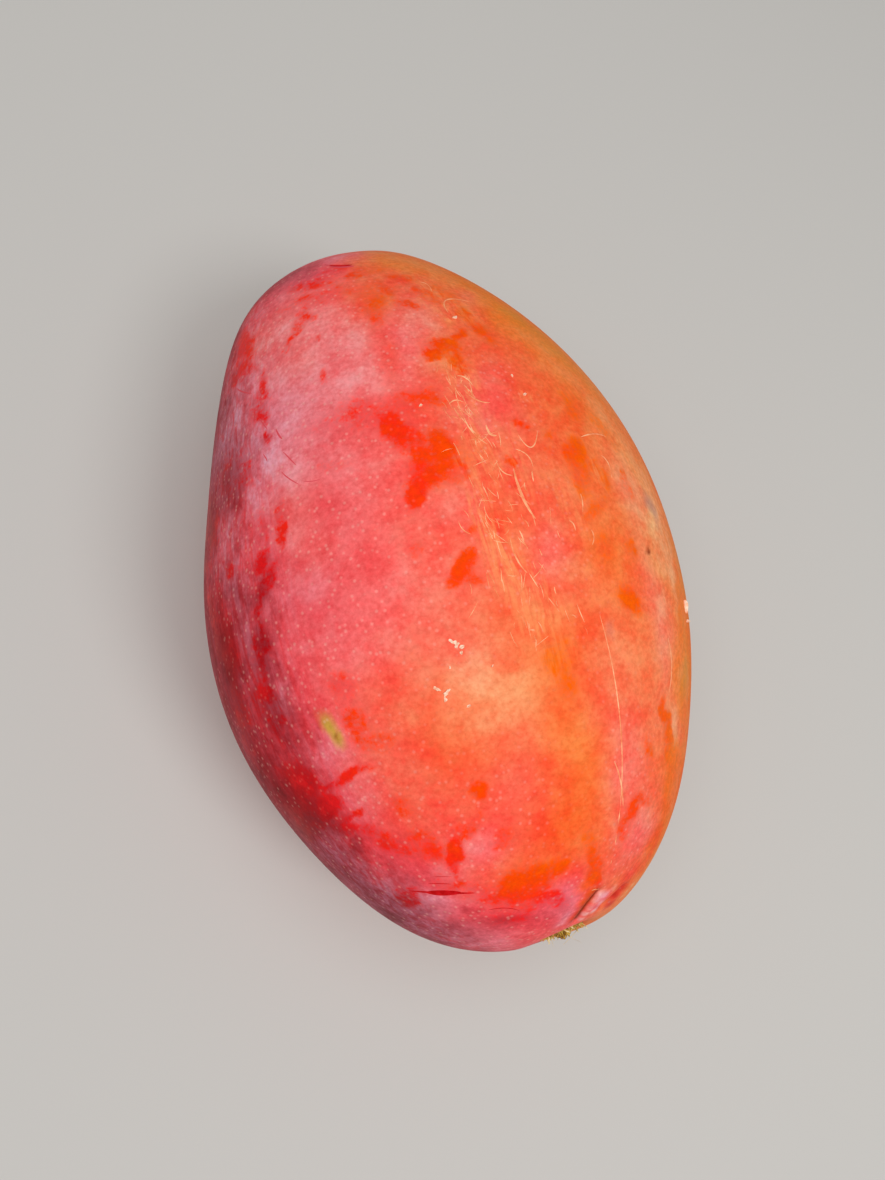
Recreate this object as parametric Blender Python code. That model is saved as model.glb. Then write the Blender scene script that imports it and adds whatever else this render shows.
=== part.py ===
"""A whole ripe mango lying on its cheek, with the corky scar where its stalk broke off.

The fruit is one solid, with its long axis along Y, the stalk end at -Y and the tip at +Y, and +Z up.
The scar is a ragged disc of cork that sits in the shallow pit at the stalk end. The origin is on the
surface that the fruit lies on, under the middle of its outline.
"""
import math
import random

import bmesh
import bpy
import numpy as np
from mathutils import Vector

# Sizes of the whole fruit, in metres, and the point of the long axis that lies at mid fruit. The axis is
# a little lower than half the fruit's thickness, so a small spot underneath is cut off flat.
LENGTH = 0.1354
AXIS_HEIGHT = 0.0385
AXIS_SIDE = 0.0048
AXIS_ALONG = -0.0005
SECTION_ROUNDNESS = 2.12

# Profiles along the fruit. A station runs from -1 at the stalk end to +1 at the tip, and each profile
# gives a length at mid fruit, then what every further power of the station adds to it.
HALF_WIDTH = (0.0440, -0.0026, -0.0105, 0.0017, 0.0109)
HALF_THICKNESS = (0.0390, -0.0025, 0.0015)
SIDEWAYS_BEND = (-0.0047, 0.0036, -0.0004, -0.0093, -0.0109)

# The pit round the stalk, a little above the end of the long axis
PIT_RISE = math.radians(10.5)
PIT_SIDE = math.radians(-1.0)
PIT_RADIUS = 0.0050
PIT_DEPTH = 0.0024

# The broad hollow that the pit lies in, and the crease that runs from the pit up over the shoulder
HOLLOW_RISE = math.radians(10.5)
HOLLOW_SIDE = math.radians(7.5)
HOLLOW_RADIUS = 0.0160
HOLLOW_DEPTH = 0.0015
CREASE_START = Vector((0.0023, -0.0625, 0.0556))
CREASE_END = Vector((0.0055, -0.0587, 0.0597))
CREASE_RADIUS = 0.0014
CREASE_DEPTH = 0.0011

# The low beak at the tip
BEAK_RISE = math.radians(31)
BEAK_SIDE = math.radians(-7)
BEAK_RADIUS = 0.0090
BEAK_HEIGHT = 0.0005

# The scar of the stalk
SCAR_RADIUS = 0.0040
SCAR_HEIGHT = 0.0022
SCAR_TEETH = 9
TOOTH_HEIGHT = 0.0011
GAP = 0.0004
SKIN_PER_RADIAN = 0.048
SCAR_SEED = 7

# Meshes
FRUIT_SPOKES = 72
FRUIT_RINGS = 44
RING_CROWDING = 1.25
SCAR_SPOKES = 36
SCAR_RINGS = 12


def end_direction(end, rise, side):
    """Unit vector towards one end of the fruit (-1 stalk, +1 tip), turned up by rise and aside by side."""
    return Vector((math.sin(side), end * math.cos(rise) * math.cos(side), math.sin(rise) * math.cos(side)))


PIT_DIRECTION = end_direction(-1, PIT_RISE, PIT_SIDE)
HOLLOW_DIRECTION = end_direction(-1, HOLLOW_RISE, HOLLOW_SIDE)
BEAK_DIRECTION = end_direction(1, BEAK_RISE, BEAK_SIDE)


def profile(terms, station):
    """Value of a profile at the stations."""
    return sum(term * station ** power for power, term in enumerate(terms))


def rounded(part):
    """A sine or cosine with its corners filled out, which makes the section a little boxy."""
    return np.sign(part) * np.abs(part) ** (2 / SECTION_ROUNDNESS)


def smooth_skin(directions):
    """Points of the fruit, without pit or crease, for unit vectors from its middle.

    The vector's Y is the station, and its angle about Y is the place round the section. Both half axes of
    the section shrink to nothing at the ends with the sine of the angle from the long axis.
    """
    station = directions[:, 1]
    closing = np.sqrt(np.clip(1 - station ** 2, 0, None))
    around = np.arctan2(directions[:, 2], directions[:, 0])
    half_width = profile(HALF_WIDTH, station) * rounded(np.cos(around))
    half_thickness = profile(HALF_THICKNESS, station) * rounded(np.sin(around))
    x = AXIS_SIDE + closing * (profile(SIDEWAYS_BEND, station) + half_width)
    z = AXIS_HEIGHT + closing * half_thickness
    return np.stack([x, AXIS_ALONG + station * LENGTH / 2, z], axis=1)


def point_at(direction):
    """The smooth skin's point in one direction."""
    return smooth_skin(np.array([direction]))[0]


def bump(points, middle, radius):
    """1 at the middle, falling away as a bell curve of that radius."""
    return np.exp(-np.sum((points - middle) ** 2, axis=1) / radius ** 2)


def crease_bump(points):
    """1 along the crease's line, falling away on both sides and at its ends."""
    start = np.array(CREASE_START)
    run = np.array(CREASE_END) - start
    along = np.clip((points - start) @ run / (run @ run), 0, 1)
    off = points - start - along[:, None] * run
    return np.exp(-np.sum(off ** 2, axis=1) / CREASE_RADIUS ** 2)


def skin(directions):
    """The fruit's surface: the smooth skin, raised at the beak and sunk at the hollow, pit and crease."""
    points = smooth_skin(directions)
    outward = directions / np.array([HALF_WIDTH[0], LENGTH / 2, HALF_THICKNESS[0]])
    outward /= np.linalg.norm(outward, axis=1)[:, None]
    height = BEAK_HEIGHT * bump(points, point_at(BEAK_DIRECTION), BEAK_RADIUS)
    height -= PIT_DEPTH * bump(points, point_at(PIT_DIRECTION), PIT_RADIUS)
    height -= HOLLOW_DEPTH * bump(points, point_at(HOLLOW_DIRECTION), HOLLOW_RADIUS)
    height -= CREASE_DEPTH * crease_bump(points)
    return points + outward * height[:, None]


def about_pit(angles, spokes):
    """Unit vectors at the given angles from the pit's direction, on the given spokes round it."""
    pit = np.array(PIT_DIRECTION)
    across = np.array(PIT_DIRECTION.cross(Vector((0, 0, 1))).normalized())
    up = np.cross(across, pit)
    sideways = np.cos(spokes)[:, None] * across + np.sin(spokes)[:, None] * up
    return np.cos(angles)[:, None] * pit + np.sin(angles)[:, None] * sideways


def sphere_angles(mesh):
    """Angle from the pole and angle round it, for each vertex of a unit sphere."""
    points = np.empty(len(mesh.vertices) * 3)
    mesh.vertices.foreach_get("co", points)
    points = points.reshape(-1, 3)
    return np.arccos(np.clip(points[:, 2], -1, 1)), np.arctan2(points[:, 1], points[:, 0])


def sphere_mesh(name, spokes, rings):
    """A mesh holding a unit sphere with its poles on Z."""
    shape = bmesh.new()
    bmesh.ops.create_uvsphere(shape, u_segments=spokes, v_segments=rings, radius=1)
    mesh = bpy.data.meshes.new(name)
    shape.to_mesh(mesh)
    shape.free()
    return mesh


def finish_mesh(mesh, points):
    """Moves the vertices to their places and turns every face outwards."""
    mesh.vertices.foreach_set("co", points.ravel())
    shape = bmesh.new()
    shape.from_mesh(mesh)
    bmesh.ops.recalc_face_normals(shape, faces=shape.faces)
    shape.to_mesh(mesh)
    shape.free()
    mesh.shade_smooth()


def cut_resting_spot(mesh):
    """Slices off what lies below the surface at Z 0 and closes the cut with one flat face."""
    shape = bmesh.new()
    shape.from_mesh(mesh)
    everything = shape.verts[:] + shape.edges[:] + shape.faces[:]
    bmesh.ops.bisect_plane(shape, geom=everything, plane_no=(0, 0, -1), clear_outer=True, dist=1e-6)
    rim = [edge for edge in shape.edges if edge.is_boundary]
    bmesh.ops.contextual_create(shape, geom=rim)
    bmesh.ops.recalc_face_normals(shape, faces=shape.faces)
    shape.to_mesh(mesh)
    shape.free()


def add_part(name, mesh, material, parts):
    """An object that shows the mesh in the material."""
    part = bpy.data.objects.new(name, mesh)
    mesh.materials.append(material)
    parts.objects.link(part)
    return part


def principled(name, colour, roughness):
    """A plain material of one colour."""
    material = bpy.data.materials.new(name)
    material.use_nodes = True
    shader = material.node_tree.nodes["Principled BSDF"]
    shader.inputs["Base Color"].default_value = (*colour, 1)
    shader.inputs["Roughness"].default_value = roughness
    shader.inputs["Metallic"].default_value = 0
    return material


def make_fruit(parts):
    """The fruit: a sphere whose rings lie round the pit, moved to the skin and cut flat underneath."""
    mesh = sphere_mesh("fruit", FRUIT_SPOKES, FRUIT_RINGS)
    polar, spokes = sphere_angles(mesh)
    crowded = math.pi * (polar / math.pi) ** RING_CROWDING
    finish_mesh(mesh, skin(about_pit(crowded, spokes)))
    cut_resting_spot(mesh)
    return add_part("fruit", mesh, principled("ripe skin", (0.75, 0.12, 0.06), 0.45), parts)


def tooth_heights(spokes, draw):
    """Height of the scar's torn rim on each spoke: rounded teeth of uneven height."""
    teeth = np.zeros_like(spokes)
    for tooth in range(SCAR_TEETH):
        middle = 2 * math.pi * (tooth + draw.uniform(-0.25, 0.25)) / SCAR_TEETH
        height = TOOTH_HEIGHT * draw.uniform(0.3, 1)
        away = np.abs((spokes - middle + math.pi) % (2 * math.pi) - math.pi)
        teeth += height * np.exp(-(away * SCAR_TEETH / 2) ** 2)
    return teeth


def make_scar(parts):
    """The stalk's scar: a disc of cork on the floor of the pit, with a torn rim and a lump in the middle.

    The lower half of a sphere becomes the underside, which follows the skin at a small gap, and the upper
    half becomes the top, which is higher by the cork's thickness.
    """
    draw = random.Random(SCAR_SEED)
    mesh = sphere_mesh("stem_scar", SCAR_SPOKES, SCAR_RINGS)
    polar, spokes = sphere_angles(mesh)
    wobble = 1 + 0.10 * np.sin(3 * spokes + 1) + 0.07 * np.sin(5 * spokes)
    reach = np.sin(polar)
    floor = skin(about_pit(reach * SCAR_RADIUS * wobble / SKIN_PER_RADIAN, spokes))
    lump = SCAR_HEIGHT * (0.55 + 0.45 * np.exp(-(reach / 0.35) ** 2))
    torn_rim = tooth_heights(spokes, draw) * np.exp(-((reach - 0.75) / 0.25) ** 2)
    top = np.clip(np.cos(polar), 0, None) ** 0.5
    lift = GAP + top * (lump + torn_rim)
    finish_mesh(mesh, floor + lift[:, None] * np.array(PIT_DIRECTION))
    return add_part("stem_scar", mesh, principled("corky scar", (0.30, 0.17, 0.05), 0.9), parts)


def main():
    for old in list(bpy.data.objects):
        bpy.data.objects.remove(old)
    parts = bpy.data.collections.new("mango")
    bpy.context.scene.collection.children.link(parts)
    make_fruit(parts)
    make_scar(parts)


main()
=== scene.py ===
# %% [markdown]
# # A ripe mango, dressed for a close look
#
# A mango of this kind ripens on the tree with one cheek in the sun. That cheek turns crimson under a dusty
# wax bloom, the shaded cheek stays amber, and handling rubs the bloom away in patches, which leaves glossy
# red skin bare. The shape is one smooth fruit, so nearly all of the look is in how the skin is coloured.
#
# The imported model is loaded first. It fixes the place and size of everything, so the lesson only has to
# make a finer skin in the same place.

# %% Load the frame
import math

import bmesh
import bpy
import numpy as np
from mathutils import Matrix, Vector


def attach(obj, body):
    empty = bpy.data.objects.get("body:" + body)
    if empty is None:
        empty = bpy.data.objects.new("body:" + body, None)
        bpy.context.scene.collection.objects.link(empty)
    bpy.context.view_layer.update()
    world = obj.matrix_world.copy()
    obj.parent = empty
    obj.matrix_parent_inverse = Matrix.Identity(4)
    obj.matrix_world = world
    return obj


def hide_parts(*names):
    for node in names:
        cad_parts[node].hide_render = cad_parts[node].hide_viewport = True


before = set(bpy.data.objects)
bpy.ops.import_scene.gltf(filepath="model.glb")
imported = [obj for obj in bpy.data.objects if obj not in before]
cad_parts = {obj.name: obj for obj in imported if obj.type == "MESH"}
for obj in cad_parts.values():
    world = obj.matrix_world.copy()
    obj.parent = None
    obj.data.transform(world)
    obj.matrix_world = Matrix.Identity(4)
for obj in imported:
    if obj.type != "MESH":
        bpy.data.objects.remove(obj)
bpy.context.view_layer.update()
print("frame nodes:", sorted(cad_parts))

# %% [markdown]
# ## Units and small helpers
#
# Blender works in metres and a fruit is thought of in millimetres, so lengths are written with MM. Colours
# are written as the hex values that a painter's colour picker shows, and one function turns them into the
# linear light that the renderer needs. Soft edges all use the same S-shaped step.

# %% Units, colours and steps
MM = 0.001


def linear(hex_colour):
    """An sRGB hex colour as linear red, green, blue and alpha.

    Each part below 0.04 is divided by 12.92, and the rest follow the standard's power curve of 2.4.
    """
    parts = [int(hex_colour[start:start + 2], 16) / 255 for start in (0, 2, 4)]
    curve = [part / 12.92 if part <= 0.04045 else ((part + 0.055) / 1.055) ** 2.4 for part in parts]
    return (*curve, 1)


def soft_step(low, high, value):
    """0 below low, 1 above high, and an S curve (3t squared minus 2t cubed) between them."""
    share = np.clip((value - low) / (high - low), 0, 1)
    return share * share * (3 - 2 * share)


print("red F03020 is linear", [round(part, 3) for part in linear("F03020")])

# %% [markdown]
# ## The camera
#
# The photograph was taken from close above, a little to the left of the fruit and towards its stalk end,
# with a short lens. Closeness is what makes the near shoulder look broad, so the camera's place matters more
# than its angle. The fruit leans to the left in the picture, which is a roll of the camera.

# %% Camera
CAMERA_PLACE = Vector((-45.3, -30.7, 205.8)) * MM
CAMERA_AIM = Vector((0.3, -1.1, 38.5)) * MM
PICTURE_UP = Vector((0.227, 0.946, 0.229))
LENS = 28.37
SENSOR = 36

camera_data = bpy.data.cameras.new("camera")
camera_data.lens = LENS
camera_data.sensor_width = SENSOR
camera = bpy.data.objects.new("camera", camera_data)
bpy.context.scene.collection.objects.link(camera)
camera_back = (CAMERA_PLACE - CAMERA_AIM).normalized()
camera_right = PICTURE_UP.cross(camera_back).normalized()
camera_up = camera_back.cross(camera_right)
camera.matrix_world = Matrix.Translation(CAMERA_PLACE) @ Matrix(
    (camera_right, camera_up, camera_back)).transposed().to_4x4()
camera_data.clip_start = 1 * MM
bpy.context.scene.camera = camera
print("camera stands", round((CAMERA_PLACE - CAMERA_AIM).length / MM), "mm from the fruit's middle")

# %% [markdown]
# ## The shape of the fruit
#
# A mango is close to an egg, but its cheeks are flatter, its tip leans to one side and its section is a
# little boxy. It could be sculpted, but then nothing else could be placed on it exactly. Here it is a
# formula: a unit vector from the middle goes in, and the point of the skin in that direction comes out. A
# profile along the fruit gives half its width, half its thickness and how far it bends aside, and all of
# them shrink to nothing at the ends. The CAD model uses the same formula with the same numbers.

# %% The smooth fruit
LENGTH = 135.4 * MM
AXIS = np.array([4.8, -0.5, 38.5]) * MM
SECTION_ROUNDNESS = 2.12
HALF_WIDTH = np.array([44.0, -2.6, -10.5, 1.7, 10.9]) * MM
HALF_THICKNESS = np.array([39.0, -2.5, 1.5]) * MM
SIDEWAYS_BEND = np.array([-4.7, 3.6, -0.4, -9.3, -10.9]) * MM


def profile(terms, station):
    """Each term times the station to a power that rises by one from term to term, added up."""
    return sum(term * station ** power for power, term in enumerate(terms))


def rounded(part):
    """A sine or cosine raised to 2 over the roundness, which fills out the section's corners."""
    return np.sign(part) * np.abs(part) ** (2 / SECTION_ROUNDNESS)


def smooth_skin(directions):
    """Points of the smooth fruit for unit vectors.

    Y of the vector is the station along the fruit. The half axes of the section there are the profiles
    times the sine of the angle from the long axis, and the vector's angle about Y goes round the section.
    """
    station = directions[..., 1]
    closing = np.sqrt(np.clip(1 - station ** 2, 0, None))
    around = np.arctan2(directions[..., 2], directions[..., 0])
    across = profile(SIDEWAYS_BEND, station) + profile(HALF_WIDTH, station) * rounded(np.cos(around))
    high = profile(HALF_THICKNESS, station) * rounded(np.sin(around))
    return AXIS + np.stack([closing * across, station * LENGTH / 2, closing * high], axis=-1)


def end_direction(end, rise, side):
    """Unit vector to the stalk end (-1) or the tip (+1), turned up by rise and aside by side, in degrees."""
    rise, side = math.radians(rise), math.radians(side)
    return np.array([math.sin(side), end * math.cos(rise) * math.cos(side), math.sin(rise) * math.cos(side)])


print("tip of the long axis:", smooth_skin(end_direction(1, 0, 0)) / MM)

# %% [markdown]
# ## Pit, crease, hollow and lumps
#
# The stalk sits in a small pit, with a crease running from it over the shoulder where two lobes of flesh
# meet. The flesh itself is never quite even. These are added along the outward direction as bell curves and
# long waves, so they stay part of one closed surface. Last, the underside is eased onto the surface it lies
# on, because a ripe fruit flattens there under its own weight.

# %% The finished skin surface
PIT = end_direction(-1, 10.5, -1.0)
HOLLOW = end_direction(-1, 10.5, 7.5)
BEAK = end_direction(1, 31, -7)
PIT_RADIUS, PIT_DEPTH = 5.0 * MM, 2.4 * MM
HOLLOW_RADIUS, HOLLOW_DEPTH = 16.0 * MM, 1.5 * MM
BEAK_RADIUS, BEAK_HEIGHT = 9.0 * MM, 0.5 * MM
CREASE = np.array([
    [2.1, -62.9, 55.0], [2.9, -61.4, 57.0], [3.6, -60.4, 58.1],
    [4.6, -59.4, 59.1], [5.5, -58.7, 59.8]]) * MM
CREASE_RADIUS, CREASE_DEPTH = 0.9 * MM, 0.6 * MM
FOLD = np.array([[7.4, -61.9, 55.4], [11.2, -60.2, 56.2]]) * MM
FOLD_RADIUS, FOLD_DEPTH = 1.1 * MM, 0.5 * MM
LUMP_HEIGHT = 0.16 * MM
LUMP_LENGTHS = (28, 60)
LUMP_WAVES = 7
LUMP_SEED = 21
EASING = 0.3 * MM


def bell(points, middle, radius):
    """1 at the middle, falling off as e to the minus squared distance over squared radius."""
    return np.exp(-np.sum((points - middle) ** 2, axis=-1) / radius ** 2)


def groove(points, line, radius):
    """A bell curve of the distance from the nearest straight stretch of a line through several places."""
    depths = []
    for start, end in zip(line[:-1], line[1:]):
        run = end - start
        along = np.clip((points - start) @ run / (run @ run), 0, 1)
        depths.append(np.exp(-np.sum((points - start - along[..., None] * run) ** 2, axis=-1) / radius ** 2))
    return np.max(depths, axis=0)


def waves(points, shortest, longest, seed, count=9):
    """Sum of sine waves between two lengths in millimetres, over the root of their count.

    Their directions and starts are seeded, and the sum stays mostly between -1 and 1.
    """
    draw = np.random.default_rng(seed)
    heading = draw.normal(size=(count, 3))
    heading /= np.linalg.norm(heading, axis=1)[:, None]
    wave = 2 * math.pi / (draw.uniform(shortest, longest, count) * MM)
    start = draw.uniform(0, 2 * math.pi, count)
    return np.sin(points @ heading.T * wave + start).sum(axis=-1) / math.sqrt(count)


def outward(directions):
    """Unit vector that leaves the fruit: the direction divided by the half axes of the fruit."""
    away = directions / np.array([HALF_WIDTH[0], LENGTH / 2, HALF_THICKNESS[0]])
    return away / np.linalg.norm(away, axis=-1)[..., None]


def skin(directions, lift=0.0):
    """The fruit's surface: smooth skin plus bell curves, grooves and long low waves, then raised by lift.

    Heights below the resting surface are eased up to it: half of z plus the root of z squared plus the
    easing squared.
    """
    points = smooth_skin(directions)
    height = BEAK_HEIGHT * bell(points, smooth_skin(BEAK), BEAK_RADIUS)
    height = height - PIT_DEPTH * bell(points, smooth_skin(PIT), PIT_RADIUS)
    height = height - HOLLOW_DEPTH * bell(points, smooth_skin(HOLLOW), HOLLOW_RADIUS)
    height = height - CREASE_DEPTH * groove(points, CREASE, CREASE_RADIUS)
    height = height - FOLD_DEPTH * groove(points, FOLD, FOLD_RADIUS)
    height = height + LUMP_HEIGHT * waves(points, *LUMP_LENGTHS, LUMP_SEED, LUMP_WAVES) + lift
    points = points + outward(directions) * height[..., None]
    points[..., 2] = (points[..., 2] + np.sqrt(points[..., 2] ** 2 + EASING ** 2)) / 2
    return points


print("bottom of the pit:", skin(PIT) / MM)

# %% [markdown]
# ## A mesh from rings
#
# Every piece here is closed: a stack of rings with a point at each end, as in a turned bead. The fruit is one
# such stack, and so are each scratch, flake and fibre, so one function makes them all. It takes an array of
# shapes, rings, points of a ring and coordinates, and works out all faces at once.

# %% Closed shapes
def closed_shapes(name, rings, smooth=True):
    """A mesh of closed shapes from an array (shapes, rings, points round, 3).

    Neighbouring rings are joined by four-sided faces. The middle of the first and last ring becomes a
    point, and triangles join it to its ring.
    """
    shapes, stack, round_count, _ = rings.shape
    body = rings.reshape(-1, 3)
    first_points = rings[:, 0].mean(axis=1)
    last_points = rings[:, -1].mean(axis=1)
    vertices = np.concatenate([body, first_points, last_points])
    index = np.arange(len(body)).reshape(shapes, stack, round_count)
    after = np.roll(index, -1, axis=2)
    quads = np.stack([index[:, :-1], after[:, :-1], after[:, 1:], index[:, 1:]], axis=-1).reshape(-1, 4)
    first_index = len(body) + np.arange(shapes)[:, None]
    last_index = first_index + shapes
    spread = np.ones_like(index[:, 0])
    first_fan = np.stack([first_index * spread, after[:, 0], index[:, 0]], axis=-1).reshape(-1, 3)
    last_fan = np.stack([last_index * spread, index[:, -1], after[:, -1]], axis=-1).reshape(-1, 3)
    mesh = bpy.data.meshes.new(name)
    mesh.from_pydata(vertices.tolist(), [], quads.tolist() + first_fan.tolist() + last_fan.tolist())
    shape = bmesh.new()
    shape.from_mesh(mesh)
    bmesh.ops.recalc_face_normals(shape, faces=shape.faces)
    shape.to_mesh(mesh)
    shape.free()
    if smooth:
        mesh.shade_smooth()
    return mesh


def add_piece(mesh, material):
    """An object named as its mesh, in the material, that rides on the root body and takes the slot."""
    piece = bpy.data.objects.new(mesh.name, mesh)
    mesh.materials.append(material)
    bpy.context.scene.collection.objects.link(piece)
    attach(piece, "root")
    print(mesh.name, "has", len(mesh.polygons), "faces")
    return piece


# %% [markdown]
# ## The skin's mesh
#
# A grid of rings needs two poles. They are put at the pit and opposite it, because the pit is small and
# needs the finest rings. Rings crowd towards the pit by a power a little over one. Faces are about 0.7 mm
# across, which is enough for the colour marks that are kept on the vertices.

# %% The skin's grid
SKIN_RINGS = 300
SKIN_SPOKES = 320
RING_CROWDING = 1.25


def about_pit(angles, spokes):
    """Unit vectors at these angles from the pit's direction, on these spokes round it."""
    across = np.cross(PIT, [0, 0, 1])
    across /= np.linalg.norm(across)
    up = np.cross(across, PIT)
    sideways = np.cos(spokes)[..., None] * across + np.sin(spokes)[..., None] * up
    return np.cos(angles)[..., None] * PIT + np.sin(angles)[..., None] * sideways


ring_share = (np.arange(SKIN_RINGS) + 0.6) / (SKIN_RINGS + 0.2)
ring_angle = math.pi * ring_share ** RING_CROWDING
spoke_angle = 2 * math.pi * np.arange(SKIN_SPOKES) / SKIN_SPOKES
grid_angle, grid_spoke = np.meshgrid(ring_angle, spoke_angle, indexing="ij")
skin_mesh = closed_shapes("fruit_skin", skin(about_pit(grid_angle, grid_spoke))[None])
skin_points = np.empty(len(skin_mesh.vertices) * 3)
skin_mesh.vertices.foreach_get("co", skin_points)
skin_points = skin_points.reshape(-1, 3)
print("skin vertices:", len(skin_points), "box mm:", skin_points.min(0) / MM, skin_points.max(0) / MM)

# %% [markdown]
# ## Painting with marks
#
# The colour of the skin is held in a few masks, one number per vertex: how warm the pigment is, how thick the
# bloom lies, where it is rubbed away, where the skin is scuffed. Each mask is built from ellipses placed
# as seen from above: soft washes that add up, and marks with an edge, of which the strongest counts.
# Each row of a table has the middle in millimetres, the half length and half width, the angle, and how much
# it adds. The plan is first bent a little by waves, so no ellipse stays an ellipse. The ragged edge of a mark
# comes later, in the material, where noise eats into it. At the stalk end the skin is too steep for a plan,
# so the small spots there are placed in space.

# %% Functions for painting
BEND, SMALL_BEND = 0.5, 0.3
BEND_SEED = 3
TOP_SIDE_START, TOP_SIDE_END = 28 * MM, 37 * MM

smooth_grid = smooth_skin(about_pit(grid_angle, grid_spoke))
smooth_points = np.concatenate([
    smooth_grid.reshape(-1, 3), smooth_grid[:1].mean(axis=1), smooth_grid[-1:].mean(axis=1)])
top_side = soft_step(TOP_SIDE_START, TOP_SIDE_END, skin_points[:, 2])
low_side = 1 - top_side
plan_x, plan_y = [
    skin_points[:, axis] / MM + BEND * waves(skin_points, 6, 14, BEND_SEED + 2 * axis)
    + SMALL_BEND * waves(skin_points, 2.5, 5, BEND_SEED + 2 * axis + 1) for axis in (0, 1)]
print("skin vertices on the upper side:", int((top_side > 0.5).sum()))


def ellipse_distance(x, y, half_length, half_width, angle):
    """Distance from the ellipse's middle in half axes: 1 is on the ellipse."""
    turn = math.radians(angle)
    along = (plan_x - x) * math.cos(turn) + (plan_y - y) * math.sin(turn)
    aside = (plan_y - y) * math.cos(turn) - (plan_x - x) * math.sin(turn)
    return np.hypot(along / half_length, aside / half_width)


def washes(rows):
    """Adds up soft ellipses: the amount times e to the minus squared distance."""
    total = np.zeros(len(skin_points))
    for x, y, half_length, half_width, angle, amount in rows:
        total += amount * np.exp(-ellipse_distance(x, y, half_length, half_width, angle) ** 2)
    return total * top_side


def marks(rows):
    """The strongest of several ellipses, each falling from its strength to 0 from 0.5 to 1.8 half axes."""
    strongest = np.zeros(len(skin_points))
    for x, y, half_length, half_width, angle, strength in rows:
        away = ellipse_distance(x, y, half_length, half_width, angle)
        strongest = np.maximum(strongest, strength * (1 - soft_step(0.5, 1.8, away)))
    return strongest * top_side


def spots(rows):
    """The strongest of several bell curves: a row has x, y and z on the smooth skin, radius and strength."""
    strongest = np.zeros(len(skin_points))
    for x, y, z, radius, strength in rows:
        middle = np.array([x, y, z]) * MM
        strongest = np.maximum(strongest, strength * bell(smooth_points, middle, radius * MM))
    return strongest


def paint(mesh, name, values):
    """Keeps one number per vertex in the mesh under this name."""
    mesh.attributes.new(name, "FLOAT", "POINT").data.foreach_set("value", values.astype(np.float32))
    print("mask", name, "from", round(float(values.min()), 2), "to", round(float(values.max()), 2))
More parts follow.
